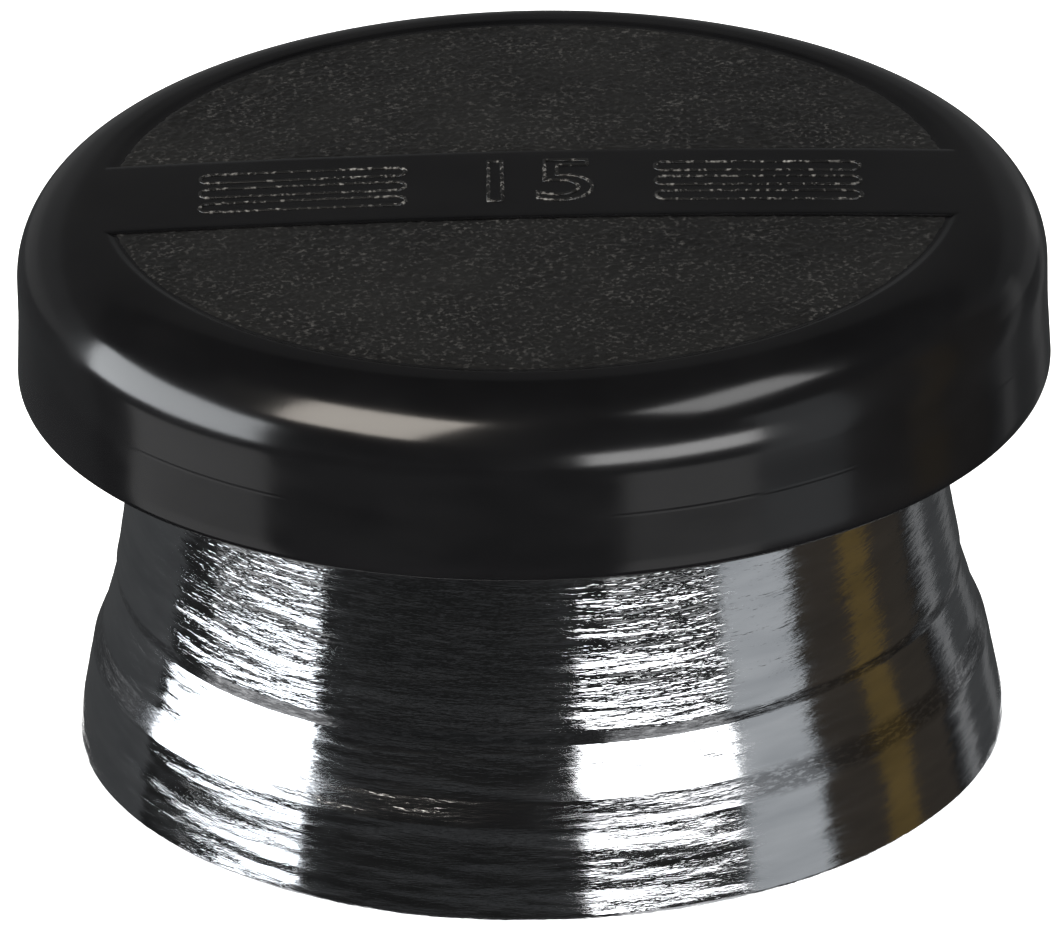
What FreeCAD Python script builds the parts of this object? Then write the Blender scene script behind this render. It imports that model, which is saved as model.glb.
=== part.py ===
import FreeCAD, Part
import math
import os

# The dead weight of a pressure canner: a turned steel body that stands on the canner's
# vent pipe, with a moulded cap to lift it by. Millimetres, +Z up. The origin is the
# middle of the foot's underside, and everything but the cap's ribs and grained
# segments is turned about the Z axis. Heights are measured from the foot.

# Cap, outside
cap_diameter = 38.1
overall_height = 22.05
rim_height = 14.75
dome_radius = 400.0
shoulder_radius = 2.9
rim_overhang = 0.11
parting_height = 17.25
rim_edge_radius = 0.3

# Grained segments of the cap's top, sunk a little below its smooth band
grain_radius = 15.55
band_width = 5.9
grain_depth = 0.15

# Cap, inside
skirt_thickness = 1.7
crown_thickness = 2.1
inner_corner_radius = 1.2
hub_wall = 2.3
rib_count = 8
rib_thickness = 1.1
rib_gap = 0.15

# Body: turned outside, from the foot up
foot_radius = 17.35
foot_edge_radius = 0.35
band_top_radius = 16.72
band_top_height = 3.7
step_radius = 15.9
step_height = 6.7
step_depth = 0.14
neck_radius = 14.74
neck_hollow = 0.1
head_radius = 14.5
head_height = 16.3
head_chamfer = 0.4

# Spigot that the cap's hub slides onto, and the ring between them
spigot_radius = 6.0
spigot_top_gap = 0.3
spigot_chamfer = 0.7
hub_clearance = 0.08
ring_wire = 1.0
ring_radius = 5.95
ring_height = 18.1
ring_gap_angle = 40.0
groove_play = 0.05
spigot_groove_radius = 5.4
hub_groove_radius = 7.05

# Underside of the body: recess, vent-pipe bore, and steam chamber round the seat
recess_radius = 13.0
recess_depth = 4.6
recess_chamfer = 0.6
bore_radius = 4.4
bore_lead_in = 0.5
chamber_radius = 5.2
chamber_floor = 10.2
chamber_top = 13.0

# Conical seat that closes the vent pipe's hole
seat_tip_radius = 0.4
seat_tip_height = 10.4
seat_flange_radius = 3.4
seat_flange_thickness = 0.6
seat_shank_radius = 2.5
seat_shank_length = 2.6
seat_shank_chamfer = 0.3
seat_hole_spare = 0.2

# Worked out from the values above
cap_radius = cap_diameter / 2
rim_radius = cap_radius + rim_overhang
ceiling_height = overall_height - crown_thickness
skirt_inner_radius = cap_radius - skirt_thickness
hub_inner_radius = spigot_radius + hub_clearance
hub_outer_radius = hub_inner_radius + hub_wall
spigot_top = ceiling_height - spigot_top_gap
half_groove = ring_wire / 2 + groove_play

UP = FreeCAD.Vector(0, 0, 1)
CENTRE = FreeCAD.Vector(0, 0, 0)


def point(radius, height):
    return FreeCAD.Vector(radius, 0, height)


def lines(*points):
    """Straight edges through points given as (radius, height)."""
    pairs = zip(points, points[1:])
    return [Part.LineSegment(point(*a), point(*b)).toShape() for a, b in pairs]


def arc(centre, radius, from_angle, to_angle):
    """A round edge about centre. Angles are in degrees above the outward direction."""
    angles = (from_angle, (from_angle + to_angle) / 2, to_angle)
    places = []
    for angle in angles:
        across = math.cos(math.radians(angle)) * radius
        rise = math.sin(math.radians(angle)) * radius
        places.append(point(centre[0] + across, centre[1] + rise))
    return Part.Arc(*places).toShape()


def turned(edges, angle=360):
    """The solid swept by a closed outline as it turns about the Z axis."""
    return Part.Face(Part.Wire(edges)).revolve(CENTRE, UP, angle)


def dome_centre_height():
    return overall_height - dome_radius


def shoulder_centre():
    """Centre of the arc that touches both the cap's wall and its domed top."""
    radius = cap_radius - shoulder_radius
    reach = dome_radius - shoulder_radius
    return radius, dome_centre_height() + math.sqrt(reach**2 - radius**2)


def cap_outside():
    """Edges from the middle of the domed top down to the rim."""
    centre = shoulder_centre()
    dome_angle = math.degrees(math.acos(centre[0] / (dome_radius - shoulder_radius)))
    edge_height = rim_height + rim_edge_radius
    edge_centre = (rim_radius - rim_edge_radius, edge_height)
    wall = lines(
        (cap_radius, centre[1]),
        (cap_radius, parting_height),
        (rim_radius, edge_height),
    )
    return [
        arc((0, dome_centre_height()), dome_radius, 90, dome_angle),
        arc(centre, shoulder_radius, dome_angle, 0),
        *wall,
        arc(edge_centre, rim_edge_radius, 0, -90),
    ]


def cap_inside():
    """Edges from the rim up inside the skirt, round the hub and back to the axis."""
    corner = (
        skirt_inner_radius - inner_corner_radius,
        ceiling_height - inner_corner_radius,
    )
    skirt = lines(
        (rim_radius - rim_edge_radius, rim_height),
        (skirt_inner_radius, rim_height),
        (skirt_inner_radius, corner[1]),
    )
    hub = lines(
        (corner[0], ceiling_height),
        (hub_outer_radius, ceiling_height),
        (hub_outer_radius, head_height),
        (hub_inner_radius, head_height),
        (hub_inner_radius, ring_height - half_groove),
        (hub_groove_radius, ring_height - half_groove),
        (hub_groove_radius, ring_height + half_groove),
        (hub_inner_radius, ring_height + half_groove),
        (hub_inner_radius, ceiling_height),
        (0, ceiling_height),
        (0, overall_height),
    )
    return [*skirt, arc(corner, inner_corner_radius, 0, 90), *hub]


def rib(angle):
    """A flat web between the cap's hub and its skirt."""
    overlap = hub_wall / 4
    start = hub_outer_radius - overlap
    length = skirt_inner_radius + overlap - start
    bottom = head_height + rib_gap
    height = ceiling_height + overlap - bottom
    corner = FreeCAD.Vector(start, -rib_thickness / 2, bottom)
    web = Part.makeBox(length, rib_thickness, height, corner)
    web.rotate(CENTRE, UP, angle)
    return web


def grain_pockets():
    """Two shallow segments of a circle, either side of the smooth band."""
    base = FreeCAD.Vector(0, 0, ceiling_height)
    disc = Part.makeCylinder(grain_radius, crown_thickness * 2, base)
    side = grain_radius * 4
    corner = FreeCAD.Vector(-side / 2, -band_width / 2, 0)
    band = Part.makeBox(side, band_width, side, corner)
    floor_centre = FreeCAD.Vector(0, 0, dome_centre_height())
    floor = Part.makeSphere(dome_radius - grain_depth, floor_centre)
    return disc.cut(band).cut(floor)


def make_cap():
    shell = turned(cap_outside() + cap_inside())
    ribs = [rib(360 / rib_count * i) for i in range(rib_count)]
    return shell.fuse(ribs).removeSplitter().cut(grain_pockets())


def body_outside():
    """Edges from the foot up the turned side to the head that the cap sits on."""
    edge_centre = (foot_radius - foot_edge_radius, foot_edge_radius)
    neck_start = (step_radius - step_depth, step_height + step_depth)
    middle_radius = (neck_start[0] + neck_radius) / 2 - neck_hollow
    middle_height = (neck_start[1] + rim_height) / 2
    neck = Part.Arc(
        point(*neck_start),
        point(middle_radius, middle_height),
        point(neck_radius, rim_height),
    )
    foot = lines((recess_radius + recess_chamfer, 0), (edge_centre[0], 0))
    slopes = lines(
        (foot_radius, foot_edge_radius),
        (band_top_radius, band_top_height),
        (step_radius, step_height),
        neck_start,
    )
    head = lines(
        (neck_radius, rim_height),
        (head_radius, head_height - head_chamfer),
        (head_radius - head_chamfer, head_height),
        (spigot_radius, head_height),
    )
    return [*foot, arc(edge_centre, foot_edge_radius, -90, 0), *slopes, neck.toShape(), *head]


def spigot_side():
    """Edges up the spigot, past the ring's groove, to the axis."""
    return lines(
        (spigot_radius, head_height),
        (spigot_radius, ring_height - half_groove),
        (spigot_groove_radius, ring_height - half_groove),
        (spigot_groove_radius, ring_height + half_groove),
        (spigot_radius, ring_height + half_groove),
        (spigot_radius, spigot_top - spigot_chamfer),
        (spigot_radius - spigot_chamfer, spigot_top),
        (0, spigot_top),
    )


def body_inside():
    """Edges down the axis and out through the seat's hole, chamber, bore and recess."""
    hole_top = chamber_top + seat_shank_length + seat_hole_spare
    return lines(
        (0, spigot_top),
        (0, hole_top),
        (seat_shank_radius, hole_top),
        (seat_shank_radius, chamber_top),
        (chamber_radius, chamber_top),
        (chamber_radius, chamber_floor),
        (bore_radius, chamber_floor),
        (bore_radius, recess_depth + bore_lead_in),
        (bore_radius + bore_lead_in, recess_depth),
        (recess_radius, recess_depth),
        (recess_radius, recess_chamfer),
        (recess_radius + recess_chamfer, 0),
    )


def make_weight_body():
    return turned(body_outside() + spigot_side() + body_inside())


def make_vent_seat():
    flange_bottom = chamber_top - seat_flange_thickness
    cone_radius = seat_tip_radius + flange_bottom - seat_tip_height
    shank_top = chamber_top + seat_shank_length
    outline = lines(
        (0, seat_tip_height),
        (seat_tip_radius, seat_tip_height),
        (cone_radius, flange_bottom),
        (seat_flange_radius, flange_bottom),
        (seat_flange_radius, chamber_top),
        (seat_shank_radius, chamber_top),
        (seat_shank_radius, shank_top - seat_shank_chamfer),
        (seat_shank_radius - seat_shank_chamfer, shank_top),
        (0, shank_top),
        (0, seat_tip_height),
    )
    return turned(outline)


def make_cap_ring():
    """Round spring wire, bent to an open ring."""
    wire = Part.Circle(point(ring_radius, ring_height), FreeCAD.Vector(0, 1, 0), ring_wire / 2)
    ring = turned([wire.toShape()], 360 - ring_gap_angle)
    ring.rotate(CENTRE, UP, ring_gap_angle / 2)
    return ring


parts = {
    "cap": make_cap,
    "weight_body": make_weight_body,
    "vent_seat": make_vent_seat,
    "cap_ring": make_cap_ring,
}
os.makedirs("parts", exist_ok=True)
for name, make in parts.items():
    shape = make()
    assert shape.isValid(), name
    solid = shape.Solids[0]
    assert len(shape.Solids) == 1, name
    solid.exportStep(f"parts/{name}.step")
    print(f"{name}: {solid.Volume:.1f} mm3")
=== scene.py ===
"""The looks of a pressure canner's dead weight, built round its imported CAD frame.

Outlines are in millimetres, as (radius, height) from the middle of the foot's underside,
and become metres only when a mesh is made.
"""

import math

import bmesh
import bpy
import numpy as np
from mathutils import Matrix, Vector


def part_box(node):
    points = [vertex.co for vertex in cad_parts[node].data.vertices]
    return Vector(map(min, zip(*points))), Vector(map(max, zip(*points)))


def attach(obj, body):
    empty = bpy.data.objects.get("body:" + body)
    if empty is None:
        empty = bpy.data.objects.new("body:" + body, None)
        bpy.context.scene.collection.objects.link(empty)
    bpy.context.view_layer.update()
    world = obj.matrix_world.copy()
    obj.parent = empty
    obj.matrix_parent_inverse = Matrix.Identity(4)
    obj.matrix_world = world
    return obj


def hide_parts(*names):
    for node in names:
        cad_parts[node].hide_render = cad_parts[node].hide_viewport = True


MM = 0.001
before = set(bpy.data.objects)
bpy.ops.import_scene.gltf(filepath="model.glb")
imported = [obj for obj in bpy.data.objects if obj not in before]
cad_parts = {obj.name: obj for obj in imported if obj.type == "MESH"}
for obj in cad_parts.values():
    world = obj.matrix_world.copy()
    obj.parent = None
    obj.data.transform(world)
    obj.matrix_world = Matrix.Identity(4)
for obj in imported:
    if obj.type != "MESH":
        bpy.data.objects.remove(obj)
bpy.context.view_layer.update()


def to_mm(corner):
    return [value / MM for value in corner]


cap_low, cap_high = (to_mm(corner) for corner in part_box("cap"))
body_high = to_mm(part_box("weight_body")[1])

# Cap, from the frame and the design's own sizes
RIM_RADIUS = cap_high[0]
CAP_RADIUS = RIM_RADIUS - 0.11
RIM_HEIGHT = cap_low[2]
PARTING_HEIGHT = RIM_HEIGHT + 2.5
HEAD_HEIGHT = RIM_HEIGHT + 1.55
CEILING_HEIGHT = cap_high[2] - 2.1
DOME_RADIUS = 400.0
SHOULDER_RADIUS = 2.9
SKIRT_INNER = CAP_RADIUS - 1.7
GRAIN_RADIUS = 15.55
GRAIN_DEPTH = 0.1
BEVEL_WIDTH = 0.45
BAND_WIDTH = 5.9
HUB_INNER = 6.08
HUB_OUTER = 8.38
RIB_COUNT = 8
RIB_THICKNESS = 1.1
RIB_GAP = 0.15
RIB_OVERLAP = 0.5

# Raised mark on the cap's band. The dome is that much lower, to keep the mark in size.
MARK_HEIGHT = 0.06
LINE_RADIUS = 0.075
NUMERAL_SIZE = 5.2
BAR_LENGTH = 7.6
BAR_WIDTH = 0.75
BAR_PLACE = 8.4
BAR_SPACING = 1.3
TOP_HEIGHT = cap_high[2] - MARK_HEIGHT - 0.01

# Body, from the frame and the design's own sizes
FOOT_RADIUS = body_high[0]
FOOT_BAND_HEIGHT = 3.7
FOOT_BAND_RADIUS = 16.72
STEEP_HEIGHT = FOOT_BAND_HEIGHT + 0.9
STEEP_RADIUS = 16.33
STEP_HEIGHT = 6.7
STEP_RADIUS = 15.76
NECK_BOTTOM = STEP_HEIGHT + 0.35
NECK_BOTTOM_RADIUS = 15.75
NECK_RADIUS = 14.74
NECK_HOLLOW = 0.1
HEAD_RADIUS = 14.5
SPIGOT_RADIUS = 6.0
SPIGOT_TOP = body_high[2]
RECESS_RADIUS = 13.0
RECESS_DEPTH = 4.6
RECESS_CHAMFER = 0.6
BORE_RADIUS = 4.4
BORE_LEAD_IN = 0.5
CHAMBER_RADIUS = 5.2
CHAMBER_FLOOR = 10.2
CHAMBER_TOP = 13.0
SEAT_HOLE_RADIUS = 2.5
SEAT_HOLE_TOP = 15.8

# Lights stand this far off, in metres, round a point at this height in millimetres
LIGHT_DISTANCE = 0.45
LIGHT_HEIGHT = 10.0

rng = np.random.default_rng(15)


# ---------------------------------------------------------------- mesh tools


def rounded(corners, steps=6):
    """Points along (radius, height, fillet) corners, each turned into a small arc."""
    points = []
    for i, (x, z, fillet) in enumerate(corners):
        here = Vector((x, z))
        if fillet == 0 or i in (0, len(corners) - 1):
            points.append((x, z))
            continue
        back = (Vector(corners[i - 1][:2]) - here).normalized()
        ahead = (Vector(corners[i + 1][:2]) - here).normalized()
        half = back.angle(ahead) / 2
        centre = here + (back + ahead).normalized() * (fillet / math.sin(half))
        start = here + back * (fillet / math.tan(half)) - centre
        turn = start.angle_signed(here + ahead * (fillet / math.tan(half)) - centre)
        for step in range(steps + 1):
            spin = Matrix.Rotation(-turn * step / steps, 2)
            points.append(tuple(centre + spin @ start))
    return points


def divided(points, longest):
    """The same outline with no step longer than longest."""
    result = [points[0]]
    for a, b in zip(points, points[1:]):
        count = max(1, math.ceil(math.dist(a, b) / longest))
        for i in range(1, count + 1):
            t = i / count
            result.append((a[0] + (b[0] - a[0]) * t, a[1] + (b[1] - a[1]) * t))
    return result


def add_object(name, mesh):
    piece = bpy.data.objects.new(name, mesh)
    bpy.context.scene.collection.objects.link(piece)
    return piece


def closed_below(points, faces, index, depth):
    """Points and faces of an open sheet, with walls down from its border and a bottom."""
    sides = (index[0, :-1], index[:-1, -1], index[-1, :0:-1], index[:0:-1, 0])
    border = np.concatenate(sides)
    lower = np.arange(len(border)) + len(points)
    walls = np.stack([border, np.roll(border, -1), np.roll(lower, -1), lower], axis=-1)
    points = np.concatenate([points, points[border] - (0, 0, depth)])
    return points, faces + walls.tolist() + [lower.tolist()]


def skin(name, grid, wrap, sharp_angle=35, depth=0):
    """A mesh over a grid of points in millimetres, joined round its columns if wrap.

    A sheet with a depth is closed below by that much.
    """
    rows, columns = grid.shape[:2]
    index = np.arange(rows * columns).reshape(rows, columns)
    across = np.roll(index, -1, axis=1) if wrap else index[:, 1:]
    here = index if wrap else index[:, :-1]
    quads = np.stack([here[:-1], across[:-1], across[1:], here[1:]], axis=-1)
    points, faces = grid.reshape(-1, 3), quads.reshape(-1, 4).tolist()
    if depth:
        points, faces = closed_below(points, faces, index, depth)
    mesh = bpy.data.meshes.new(name)
    mesh.from_pydata((points * MM).tolist(), [], faces)
    work = bmesh.new()
    work.from_mesh(mesh)
    bmesh.ops.remove_doubles(work, verts=work.verts, dist=1e-7)
    bmesh.ops.recalc_face_normals(work, faces=work.faces)
    work.to_mesh(mesh)
    work.free()
    mesh.shade_smooth()
    mesh.set_sharp_from_angle(angle=math.radians(sharp_angle))
    return add_object(name, mesh)


def lathe(name, outline, columns, offset=None):
    """A solid turned about Z from an outline that starts and ends on the axis."""
    outline = np.array(outline)
    angles = np.arange(columns) / columns * math.tau
    radius = np.repeat(outline[:, :1], columns, axis=1)
    height = np.repeat(outline[:, 1:], columns, axis=1)
    if offset:
        radius = radius + offset(angles[None, :], radius, height)
    grid = np.stack([radius * np.cos(angles), radius * np.sin(angles), height], axis=-1)
    return skin(name, grid, wrap=True)


# ---------------------------------------------------------------- materials


def new_material(name):
    material = bpy.data.materials.new(name)
    material.use_nodes = True
    tree = material.node_tree
    shader = tree.nodes["Principled BSDF"]
    return material, tree, shader


def add_node(tree, kind, values=None, **settings):
    node = tree.nodes.new(kind)
    for key, value in settings.items():
        setattr(node, key, value)
    for key, value in (values or {}).items():
        node.inputs[key].default_value = value
    return node


def stretched_noise(tree, scale, detail=3.0, roughness=0.55):
    """Noise over the object's own space, in repeats per metre along X, Y and Z."""
    place = add_node(tree, "ShaderNodeTexCoord")
    mapping = add_node(tree, "ShaderNodeMapping", {"Scale": scale})
    noise = add_node(
        tree, "ShaderNodeTexNoise", {"Scale": 1.0, "Detail": detail, "Roughness": roughness}
    )
    tree.links.new(place.outputs["Object"], mapping.inputs["Vector"])
    tree.links.new(mapping.outputs["Vector"], noise.inputs["Vector"])
    return noise.outputs["Fac"]


def remap(tree, value, low, high, to_low, to_high):
    node = add_node(
        tree,
        "ShaderNodeMapRange",
        {"From Min": low, "From Max": high, "To Min": to_low, "To Max": to_high},
    )
    tree.links.new(value, node.inputs["Value"])
    return node.outputs["Result"]


def colour_ramp(tree, value, stops):
    node = add_node(tree, "ShaderNodeValToRGB")
    elements = node.color_ramp.elements
    while len(elements) < len(stops):
        elements.new(0.5)
    for element, (place, colour) in zip(elements, stops):
        element.position = place
        element.color = (*colour, 1.0)
    tree.links.new(value, node.inputs["Fac"])
    return node.outputs["Color"]


def bump(tree, height, distance, normal=None):
    """A bump of that depth in metres, on top of another bump's normal if given."""
    node = add_node(tree, "ShaderNodeBump", {"Strength": 1.0, "Distance": distance})
    tree.links.new(height, node.inputs["Height"])
    if normal:
        tree.links.new(normal, node.inputs["Normal"])
    return node.outputs["Normal"]


def maths(tree, operation, first, second=None):
    """One step of arithmetic on sockets or plain numbers."""
    node = add_node(tree, "ShaderNodeMath", operation=operation)
    for slot, value in enumerate((first, second)):
        if isinstance(value, float):
            node.inputs[slot].default_value = value
        elif value is not None:
            tree.links.new(value, node.inputs[slot])
    return node.outputs[0]


def blend(tree, factor, start, end, data_type="FLOAT"):
    """Between two numbers, colours or sockets, by a mask."""
    node = add_node(tree, "ShaderNodeMix", data_type=data_type)
    tree.links.new(factor, node.inputs["Factor"])
    for key, value in (("A", start), ("B", end)):
        if isinstance(value, float):
            node.inputs[key].default_value = value
        elif isinstance(value, tuple):
            node.inputs[key].default_value = (*value, 1)
        else:
            tree.links.new(value, node.inputs[key])
    return node.outputs["Result"]


def cap_plastic(name, roughness_low, roughness_high, fleck=None):
    """Near-black glossy moulded phenolic with faint flow marks, and pale flecks of wear; on the
    raised mark the flecks are also painted sheen.
    """
    material, tree, shader = new_material(name)
    shader.inputs["IOR"].default_value = 1.6
    flow = stretched_noise(tree, (160, 160, 420), detail=4.0)
    if fleck:
        dark, pale = (0.0065, 0.0065, 0.0065), (0.0115, 0.0115, 0.011)
        plain = colour_ramp(tree, flow, [(0.3, dark), (0.7, pale)])
        flecks = stretched_noise(tree, (5200, 5200, 5200), detail=1.0)
        patches = stretched_noise(tree, (420, 420, 420), detail=3.0)
        spots = maths(
            tree,
            "MULTIPLY",
            remap(tree, flecks, 0.54, 0.80, 0.0, 1.0),
            remap(tree, patches, 0.35, 0.65, 0.3, 1.0),
        )
        colour = blend(tree, spots, plain, fleck, "RGBA")
    else:
        dark, pale = (0.0026, 0.0026, 0.0029), (0.0048, 0.0048, 0.0052)
        colour = colour_ramp(tree, flow, [(0.3, dark), (0.7, pale)])
    tree.links.new(colour, shader.inputs["Base Color"])
    rough = remap(tree, flow, 0.3, 0.7, roughness_low, roughness_high)
    tree.links.new(rough, shader.inputs["Roughness"])
    waves = stretched_noise(tree, (260, 260, 260), detail=1.0)
    pits = stretched_noise(tree, (2600, 2600, 2600), detail=2.0)
    normal = bump(tree, waves, 0.02 * MM)
    normal = bump(tree, pits, 0.0012 * MM, normal)
    tree.links.new(normal, shader.inputs["Normal"])
    return material


def near_height(tree, height, reach, wobble):
    """A mask on the body's outer side: 1 round a height in millimetres, 0 beyond reach.

    Its edge is ragged by wobble.
    """
    place = add_node(tree, "ShaderNodeTexCoord").outputs["Object"]
    split = add_node(tree, "ShaderNodeSeparateXYZ")
    tree.links.new(place, split.inputs["Vector"])
    ragged = stretched_noise(tree, (500, 500, 2500), detail=4.0)
    shift = maths(tree, "MULTIPLY", ragged, wobble * MM)
    moved = maths(tree, "ADD", split.outputs["Z"], shift)
    away = maths(tree, "ABSOLUTE", maths(tree, "SUBTRACT", moved, (height + wobble / 2) * MM))
    mask = remap(tree, away, reach * MM * 0.5, reach * MM, 1.0, 0.0)
    squares = [maths(tree, "POWER", split.outputs[axis], 2.0) for axis in "XY"]
    radius = maths(tree, "SQRT", maths(tree, "ADD", *squares))
    outside = remap(tree, radius, (RECESS_RADIUS + 0.8) * MM, (RECESS_RADIUS + 1.2) * MM, 0.0, 1.0)
    return maths(tree, "MULTIPLY", mask, outside)


def turned_steel(name):
    """Bright zinc plate over turning marks, with a rough line where slopes meet, its darker colour
    painted shade.
    """
    material, tree, shader = new_material(name)
    shader.inputs["Metallic"].default_value = 1.0
    broad = stretched_noise(tree, (220, 220, 1100), detail=2.0)
    streaks = stretched_noise(tree, (600, 600, 4500), detail=3.0, roughness=0.6)
    fine = stretched_noise(tree, (2600, 2600, 26000), detail=2.0)
    specks = stretched_noise(tree, (1900, 1900, 8000), detail=3.0, roughness=0.7)

    step_line = near_height(tree, STEP_HEIGHT + 0.13, reach=0.26, wobble=0.2)
    foot_line = near_height(tree, FOOT_BAND_HEIGHT + 0.5, reach=0.6, wobble=0.3)
    lines = maths(tree, "MAXIMUM", step_line, foot_line)
    rough_and_painted_shade = maths(tree, "MULTIPLY", lines, remap(tree, specks, 0.38, 0.52, 0.2, 1.0))

    plate = colour_ramp(tree, broad, [(0.3, (0.66, 0.675, 0.70)), (0.7, (0.83, 0.84, 0.86))])
    # Painted shade: the plate's colour is darkened along the step and foot lines, which are also
    # made rougher.
    colour = blend(tree, rough_and_painted_shade, plate, (0.36, 0.365, 0.38), "RGBA")
    tree.links.new(colour, shader.inputs["Base Color"])
    smooth = remap(tree, streaks, 0.35, 0.7, 0.06, 0.14)
    tree.links.new(blend(tree, rough_and_painted_shade, smooth, 0.16), shader.inputs["Roughness"])

    neck = near_height(tree, 11.0, reach=8.0, wobble=0.5)
    ridges = maths(tree, "MULTIPLY", foot_line, 0.9)
    strength = maths(tree, "MAXIMUM", blend(tree, neck, 0.2, 0.85), ridges)
    relief = maths(tree, "MULTIPLY", streaks, strength)
    normal = bump(tree, broad, 0.04 * MM)
    normal = bump(tree, relief, 0.027 * MM, normal)
    normal = bump(tree, fine, 0.003 * MM, normal)
    tree.links.new(normal, shader.inputs["Normal"])
    return material


def plain_steel(name, colour, rough_low, rough_high):
    """Unplated machined or drawn steel with fine marks round the axis."""
    material, tree, shader = new_material(name)
    shader.inputs["Metallic"].default_value = 1.0
    marks = stretched_noise(tree, (1500, 1500, 12000), detail=3.0)
    darker = tuple(channel * 0.8 for channel in colour)
    shade = colour_ramp(tree, marks, [(0.3, darker), (0.7, colour)])
    rough = remap(tree, marks, 0.3, 0.7, rough_low, rough_high)
    tree.links.new(shade, shader.inputs["Base Color"])
    tree.links.new(rough, shader.inputs["Roughness"])
    tree.links.new(bump(tree, marks, 0.004 * MM), shader.inputs["Normal"])
    return material


# ---------------------------------------------------------------- pieces


def dome_height(radius):
    """Height of the cap's domed top at a distance from the axis."""
    return TOP_HEIGHT - DOME_RADIUS + np.sqrt(DOME_RADIUS**2 - radius**2)


def domed(radii, sink=0.0):
    """Outline points on the dome, or a little under it."""
    return [(float(r), float(dome_height(r) - sink)) for r in radii]


def cap_outline():
    """The moulding's outline: sunk floor, shoulder, wall, rim, skirt inside, hub."""
    centre_radius = CAP_RADIUS - SHOULDER_RADIUS
    reach = DOME_RADIUS - SHOULDER_RADIUS
    centre_height = TOP_HEIGHT - DOME_RADIUS + math.sqrt(reach**2 - centre_radius**2)
    dome_angle = math.acos(centre_radius / reach)
    dome_edge = math.cos(dome_angle) * DOME_RADIUS
    floor = domed(np.linspace(0, GRAIN_RADIUS, 20), GRAIN_DEPTH)
    bevel = []
    for part in np.linspace(0.15, 0.85, 6):
        sink = GRAIN_DEPTH * (1 + math.cos(part * math.pi)) / 2
        bevel += domed([GRAIN_RADIUS + part * BEVEL_WIDTH], sink)
    dome = domed(np.linspace(GRAIN_RADIUS + BEVEL_WIDTH, dome_edge, 3))
    shoulder = []
    for angle in np.linspace(dome_angle, 0, 40)[1:]:
        across = centre_radius + SHOULDER_RADIUS * math.cos(angle)
        shoulder.append((across, centre_height + SHOULDER_RADIUS * math.sin(angle)))
    wall = rounded(
        [
            (CAP_RADIUS, centre_height, 0),
            (CAP_RADIUS, PARTING_HEIGHT + 0.08, 0.2),
            (CAP_RADIUS + 0.006, PARTING_HEIGHT, 0.1),
            (CAP_RADIUS + 0.004, PARTING_HEIGHT - 0.08, 0.2),
            (RIM_RADIUS, RIM_HEIGHT, 0.3),
            (SKIRT_INNER, RIM_HEIGHT, 0.2),
            (SKIRT_INNER, CEILING_HEIGHT, 1.2),
            (HUB_OUTER, CEILING_HEIGHT, 0.5),
            (HUB_OUTER, HEAD_HEIGHT, 0.2),
            (HUB_INNER, HEAD_HEIGHT, 0.2),
            (HUB_INNER, CEILING_HEIGHT, 0),
            (0, CEILING_HEIGHT, 0),
        ]
    )
    return floor + bevel + dome + shoulder + divided(wall, 0.5)[1:]


def make_cap(material):
    shell = lathe("cap_moulding", cap_outline(), 512)
    shell.data.materials.append(material)
    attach(shell, "root")
    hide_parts("cap")


def make_ribs(material):
    """The flat webs under the cap, joined as one piece."""
    work = bmesh.new()
    inner = HUB_OUTER - RIB_OVERLAP
    outer = SKIRT_INNER + RIB_OVERLAP
    low = HEAD_HEIGHT + RIB_GAP
    high = CEILING_HEIGHT + RIB_OVERLAP
    size = Vector((outer - inner, RIB_THICKNESS, high - low)) * MM
    middle = Vector(((outer + inner) / 2, 0, (high + low) / 2)) * MM
    for i in range(RIB_COUNT):
        cube = bmesh.ops.create_cube(work, size=1)["verts"]
        spin = Matrix.Rotation(i / RIB_COUNT * math.tau, 4, "Z")
        place = spin @ Matrix.Translation(middle) @ Matrix.Diagonal((*size, 1))
        bmesh.ops.transform(work, matrix=place, verts=cube)
    bmesh.ops.bevel(
        work, geom=work.edges, offset=0.12 * MM, segments=2, affect="EDGES", profile=0.5
    )
    mesh = bpy.data.meshes.new("cap_ribs")
    work.to_mesh(mesh)
    work.free()
    ribs = add_object("cap_ribs", mesh)
    mesh.materials.append(material)
    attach(ribs, "root")


def value_noise(x, y, cell):
    """Smooth random heights from 0 to 1 on a lattice of that cell size."""
    size = 1024
    lattice = rng.random((size, size))
    u, v = x / cell, y / cell
    i, j = np.floor(u).astype(int), np.floor(v).astype(int)
    s, t = u - i, v - j
    s, t = s * s * (3 - 2 * s), t * t * (3 - 2 * t)
    i, j = i % size, j % size
    i1, j1 = (i + 1) % size, (j + 1) % size
    near = lattice[i, j] * (1 - s) + lattice[i1, j] * s
    far = lattice[i, j1] * (1 - s) + lattice[i1, j1] * s
    return near * (1 - t) + far * t


def make_grain(name, side, material):
    """One grained segment of the cap's top, as real relief."""
    columns, rows = 500, 195
    v = np.linspace(0, 1, rows)[:, None]
    u = np.linspace(-1, 1, columns)[None, :]
    edge = BAND_WIDTH / 2
    y = edge + v * (GRAIN_RADIUS - 0.02 - edge)
    chord = np.sqrt(GRAIN_RADIUS**2 - y**2)
    x = u * chord
    y = np.broadcast_to(y, x.shape)
    fade = np.minimum(1, np.minimum(y - edge, GRAIN_RADIUS - np.hypot(x, y)) / 0.2)
    # Moved so that no place on the lattice is negative
    places = (x + 50, y + 50)
    coarse = value_noise(*places, 0.3)
    medium = value_noise(*places, 0.17)
    grit = value_noise(*places, 0.1)
    relief = (coarse * 0.35 + medium * 0.4 + grit * 0.25) ** 2 * 0.11
    floor = dome_height(np.hypot(x, y)) - GRAIN_DEPTH
    z = floor - 0.01 + np.clip(fade, 0, 1) * (0.015 + relief)
    grid = np.stack([x * side, y * side, z], axis=-1)
    patch = skin(name, grid, wrap=False, sharp_angle=80, depth=0.1)
    patch.data.materials.append(material)
    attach(patch, "root")


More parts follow.
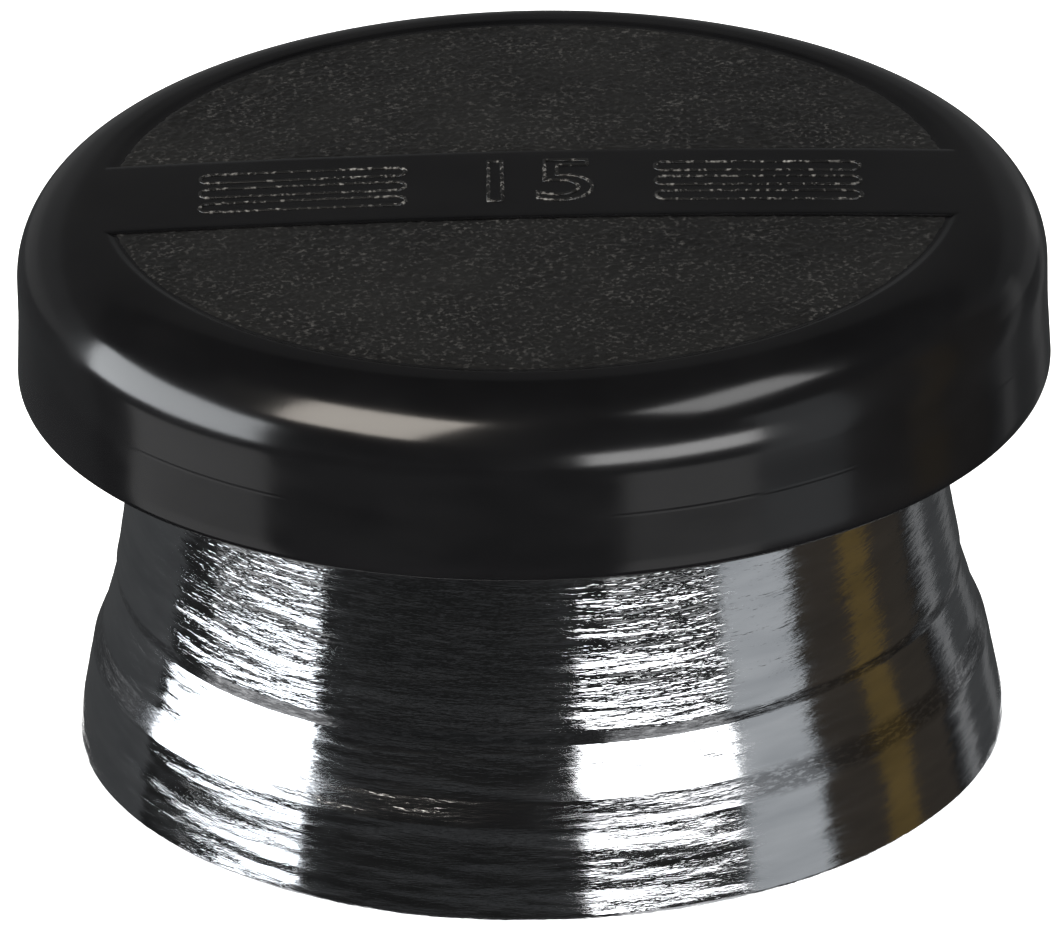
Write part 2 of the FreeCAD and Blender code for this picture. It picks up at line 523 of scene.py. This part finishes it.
def make_band(material):
    """The smooth strip across the top, between the grained segments."""
    half = BAND_WIDTH / 2
    profile = [(-half, 0.3), (-half, 0.035), (-half + 0.012, 0.01), (-half + 0.04, 0.0)]
    flat = [(y, 0.0) for y in np.linspace(-half + 0.3, half - 0.3, 13)]
    profile = profile + flat + [(-y, drop) for y, drop in reversed(profile)]
    rows = []
    for y, drop in profile:
        chord = math.sqrt((GRAIN_RADIUS + BEVEL_WIDTH) ** 2 - y**2)
        x = np.linspace(-chord, chord, 121)
        z = dome_height(np.hypot(x, y)) - drop - 0.002 * (np.abs(x) > GRAIN_RADIUS)
        rows.append(np.stack([x, np.full_like(x, y), z], axis=-1))
    band = skin("cap_band", np.array(rows), wrap=False, depth=0.1)
    band.data.materials.append(material)
    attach(band, "root")


def rounded_bar(x, y):
    """The outline of a flat bar with round ends, as a closed curve in millimetres."""
    radius = BAR_WIDTH / 2
    points = []
    for end, start in ((1, -90), (-1, 90)):
        middle = x + end * (BAR_LENGTH / 2 - radius)
        for step in range(13):
            angle = math.radians(start + step * 15)
            points.append((middle + radius * math.cos(angle), y + radius * math.sin(angle)))
    return points


def raised_lines(data):
    """Turn an outline curve into a mesh of thin raised lines that follow the dome."""
    data.bevel_depth = LINE_RADIUS * MM
    data.bevel_resolution = 3
    data.resolution_u = 8
    drawn = add_object("drawn_outline", data)
    depsgraph = bpy.context.evaluated_depsgraph_get()
    mesh = bpy.data.meshes.new_from_object(drawn.evaluated_get(depsgraph))
    bpy.data.objects.remove(drawn)
    for vertex in mesh.vertices:
        x, y, z = vertex.co / MM
        height = dome_height(math.hypot(x, y)) + z / LINE_RADIUS * MARK_HEIGHT
        vertex.co.z = height * MM
    return mesh


def make_mark(material):
    """A plain raised mark on the band: the weight's number between outlined bars."""
    numerals = bpy.data.curves.new("numerals", "FONT")
    numerals.body = "15"
    numerals.size = NUMERAL_SIZE * MM
    numerals.align_x = "CENTER"
    numerals.align_y = "CENTER"
    numerals.fill_mode = "NONE"
    bars = bpy.data.curves.new("bars", "CURVE")
    bars.dimensions = "3D"
    for side in (-1, 1):
        for y in (-BAR_SPACING, 0, BAR_SPACING):
            points = rounded_bar(side * BAR_PLACE, y)
            spline = bars.splines.new("POLY")
            spline.points.add(len(points) - 1)
            spline.use_cyclic_u = True
            for point, (px, py) in zip(spline.points, points):
                point.co = (px * MM, py * MM, 0, 1)
    work = bmesh.new()
    for data in (numerals, bars):
        work.from_mesh(raised_lines(data))
    mesh = bpy.data.meshes.new("cap_mark")
    work.to_mesh(mesh)
    work.free()
    mesh.shade_smooth()
    mesh.materials.clear()
    mesh.materials.append(material)
    mark = add_object("cap_mark", mesh)
    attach(mark, "root")


def neck_curve():
    """The slightly hollow side from the step up to the cap's rim, from the top down."""
    points = []
    for t in np.linspace(0, 1, 24):
        straight = NECK_RADIUS + (NECK_BOTTOM_RADIUS - NECK_RADIUS) * t
        radius = straight - NECK_HOLLOW * 4 * t * (1 - t)
        height = RIM_HEIGHT + (NECK_BOTTOM - RIM_HEIGHT) * t
        points.append((float(radius), float(height)))
    return points


def body_outline():
    """The turned body: spigot, head, neck, three slopes, foot, then the hollows inside."""
    head = rounded(
        [
            (0, SPIGOT_TOP, 0),
            (SPIGOT_RADIUS, SPIGOT_TOP, 0.5),
            (SPIGOT_RADIUS, HEAD_HEIGHT, 0),
            (HEAD_RADIUS, HEAD_HEIGHT, 0.3),
            (NECK_RADIUS, RIM_HEIGHT, 0),
        ]
    )
    slopes = rounded(
        [
            (NECK_BOTTOM_RADIUS, NECK_BOTTOM, 0),
            (STEP_RADIUS, STEP_HEIGHT - 0.12, 0.1),
            (STEEP_RADIUS, STEEP_HEIGHT, 0.3),
            (FOOT_BAND_RADIUS, FOOT_BAND_HEIGHT, 0.15),
            (FOOT_RADIUS, 0.4, 0.2),
            (FOOT_RADIUS, 0, 0.3),
            (FOOT_RADIUS - 1, 0, 0),
        ]
    )
    hollows = rounded(
        [
            (FOOT_RADIUS - 1, 0, 0),
            (RECESS_RADIUS + RECESS_CHAMFER, 0, 0.08),
            (RECESS_RADIUS, RECESS_CHAMFER, 0.08),
            (RECESS_RADIUS, RECESS_DEPTH, 0.3),
            (BORE_RADIUS + BORE_LEAD_IN, RECESS_DEPTH, 0.08),
            (BORE_RADIUS, RECESS_DEPTH + BORE_LEAD_IN, 0.05),
            (BORE_RADIUS, CHAMBER_FLOOR, 0.05),
            (CHAMBER_RADIUS, CHAMBER_FLOOR, 0),
            (CHAMBER_RADIUS, CHAMBER_TOP, 0),
            (SEAT_HOLE_RADIUS, CHAMBER_TOP, 0),
            (SEAT_HOLE_RADIUS, SEAT_HOLE_TOP, 0),
            (0, SEAT_HOLE_TOP, 0),
        ]
    )
    outside = divided(neck_curve() + slopes[1:], 0.15)
    return divided(head, 1.5) + outside[1:] + divided(hollows, 1.5)[1:]


def turning_waves(angle, radius, height):
    """Slow unevenness of the turned side, a few microns deep and never outward."""
    total = 0
    for depth, turns, pitch in ((0.004, 3, 2.3), (0.003, 7, 1.1), (0.002, 13, 0.63)):
        phase = rng.random() * math.tau
        total = total + depth * np.sin(angle * turns + height / pitch * math.tau + phase)
    return np.where(radius > HEAD_RADIUS - 0.2, total - 0.009, 0)


def make_body(material):
    body = lathe("weight_turning", body_outline(), 400, turning_waves)
    body.data.materials.append(material)
    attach(body, "root")
    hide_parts("weight_body")


def finish_node(node, material):
    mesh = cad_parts[node].data
    mesh.materials.clear()
    mesh.materials.append(material)


# ---------------------------------------------------------------- stage


def make_floor():
    """A white ground without shadows, and the small part of it that the foot mirrors.

    Both are clear from below, so that the underside can be looked at.
    """
    material, tree, shader = new_material("white_ground")
    shader.inputs["Base Color"].default_value = (0.9, 0.9, 0.9, 1)
    shader.inputs["Roughness"].default_value = 0.9
    shader.inputs["Emission Color"].default_value = (1, 1, 1, 1)
    shader.inputs["Emission Strength"].default_value = 0.9
    geometry = add_node(tree, "ShaderNodeNewGeometry")
    clear = add_node(tree, "ShaderNodeBsdfTransparent")
    sides = add_node(tree, "ShaderNodeMixShader")
    tree.links.new(geometry.outputs["Backfacing"], sides.inputs["Fac"])
    tree.links.new(shader.outputs["BSDF"], sides.inputs[1])
    tree.links.new(clear.outputs["BSDF"], sides.inputs[2])
    tree.links.new(sides.outputs["Shader"], tree.nodes["Material Output"].inputs["Surface"])
    bpy.ops.mesh.primitive_plane_add(size=6)
    floor = bpy.context.object
    floor.name = "floor"
    floor.visible_glossy = False
    floor.visible_shadow = False
    patch_radius = FOOT_RADIUS * 1.025 * MM
    bpy.ops.mesh.primitive_circle_add(vertices=96, radius=patch_radius, fill_type="NGON")
    patch = bpy.context.object
    patch.name = "floor_near_foot"
    patch.location.z = 0.005 * MM
    patch.visible_camera = False
    for ground in (floor, patch):
        ground.data.materials.append(material)


def soft_light(name, azimuth, low, high, half_width, radiance, colour=(1, 1, 1)):
    """A rectangular soft light between two elevations, centred on an azimuth.

    Azimuth 0 is the camera's side, and angles in degrees grow towards +X.
    """
    middle = math.radians((low + high) / 2)
    turn = math.radians(azimuth)
    level = math.cos(middle)
    outward = Vector((math.sin(turn) * level, -math.cos(turn) * level, math.sin(middle)))
    light = bpy.data.lights.new(name, "AREA")
    light.shape = "RECTANGLE"
    light.size = 2 * LIGHT_DISTANCE * math.tan(math.radians(half_width))
    light.size_y = 2 * LIGHT_DISTANCE * math.tan(math.radians(high - low) / 2)
    light.energy = radiance * math.pi * light.size * light.size_y
    light.color = colour
    lamp = bpy.data.objects.new(name, light)
    bpy.context.scene.collection.objects.link(lamp)
    lamp.location = Vector((0, 0, LIGHT_HEIGHT * MM)) + outward * LIGHT_DISTANCE
    lamp.rotation_euler = outward.to_track_quat("Z", "Y").to_euler()
    lamp.visible_camera = False


def make_lights():
    cool = (0.93, 0.97, 1.0)
    warm = (1.0, 0.93, 0.84)
    brown = (1.0, 0.78, 0.54)
    soft_light("left_softbox", -85, -8.5, 20, 25, 5.0, cool)
    soft_light("front_right_softbox", 29, -3, 13, 19, 5.0)
    soft_light("front_left_high", -44, 30, 60, 15, 6.5, warm)
    soft_light("right_high", 66, 50, 66, 14, 3.2)
    soft_light("grey_card", 60, -24, 30, 11, 0.40, cool)
    soft_light("brown_card", 95, -30, 30, 23, 0.022, brown)
    soft_light("ochre_strip", 95.5, -24, 20, 5.5, 0.058, (1.0, 0.60, 0.0))
    soft_light("back_right_card", 150, -32, 20, 28, 0.04, cool)
    soft_light("back_right_strip", 128, -24, 10, 3, 0.12)
    soft_light("far_right_strip", 152, -30, 0, 4, 0.07)
    soft_light("back_left_card", -147, -32, 20, 33, 0.045, cool)
    soft_light("back_card", 180, 4, 44, 60, 0.045)
    soft_light("back_low_card", 180, -12, 4, 60, 0.08)
    soft_light("front_card", -24, -5, 1, 33, 0.03, cool)
    soft_light("front_low_card", -24, -34, -19, 33, 0.02, cool)
    soft_light("skirt_glow_right", 34, -34, -19, 14, 0.55)
    soft_light("skirt_glow_left", -80, -34, -19, 18, 0.55)


def make_world():
    """White to the camera, a soft fill for matt surfaces, and dark in reflections."""
    world = bpy.data.worlds.new("studio")
    bpy.context.scene.world = world
    world.use_nodes = True
    tree = world.node_tree
    background = tree.nodes["Background"]
    background.inputs["Color"].default_value = (1, 1, 1, 1)
    path = add_node(tree, "ShaderNodeLightPath")
    reflected = blend(tree, path.outputs["Is Glossy Ray"], 1.0, 0.012)
    strength = blend(tree, path.outputs["Is Camera Ray"], reflected, 1.0)
    tree.links.new(strength, background.inputs["Strength"])


def make_camera():
    """At the photograph's viewing angle, far back with a long lens."""
    elevation = math.radians(25.2)
    roll = math.radians(-1.25)
    distance = 533.4 * MM
    aim = Vector((-0.17, 0.2, 10.34)) * MM
    forward = Vector((0, math.cos(elevation), -math.sin(elevation)))
    level_up = Vector((0, math.sin(elevation), math.cos(elevation)))
    right = Vector((math.cos(roll), 0, 0)) + level_up * math.sin(roll)
    up = level_up * math.cos(roll) - Vector((math.sin(roll), 0, 0))
    data = bpy.data.cameras.new("camera")
    data.lens = 484.8
    data.clip_start = 0.01
    camera = bpy.data.objects.new("camera", data)
    bpy.context.scene.collection.objects.link(camera)
    turn = Matrix((right, up, -forward)).transposed().to_4x4()
    camera.matrix_world = Matrix.Translation(aim - forward * distance) @ turn
    bpy.context.scene.camera = camera


make_camera()
make_floor()
make_lights()
make_world()
bpy.context.scene.view_settings.view_transform = "Standard"

gloss = cap_plastic("cap_gloss", 0.13, 0.19)
grain = cap_plastic("cap_grain", 0.30, 0.40, fleck=(0.06, 0.058, 0.055))
# The mark's pale flecks are partly wear and partly painted sheen on the raised lines.
wear_and_sheen = cap_plastic("cap_mark_wear_and_sheen", 0.20, 0.30, fleck=(0.30, 0.29, 0.27))
plate = turned_steel("zinc_plate")
make_cap(gloss)
make_ribs(gloss)
make_grain("cap_grain_back", 1, grain)
make_grain("cap_grain_front", -1, grain)
make_band(gloss)
make_mark(wear_and_sheen)
make_body(plate)
finish_node("vent_seat", plain_steel("stainless", (0.62, 0.61, 0.59), 0.18, 0.34))
finish_node("cap_ring", plain_steel("spring_wire", (0.38, 0.38, 0.39), 0.25, 0.4))
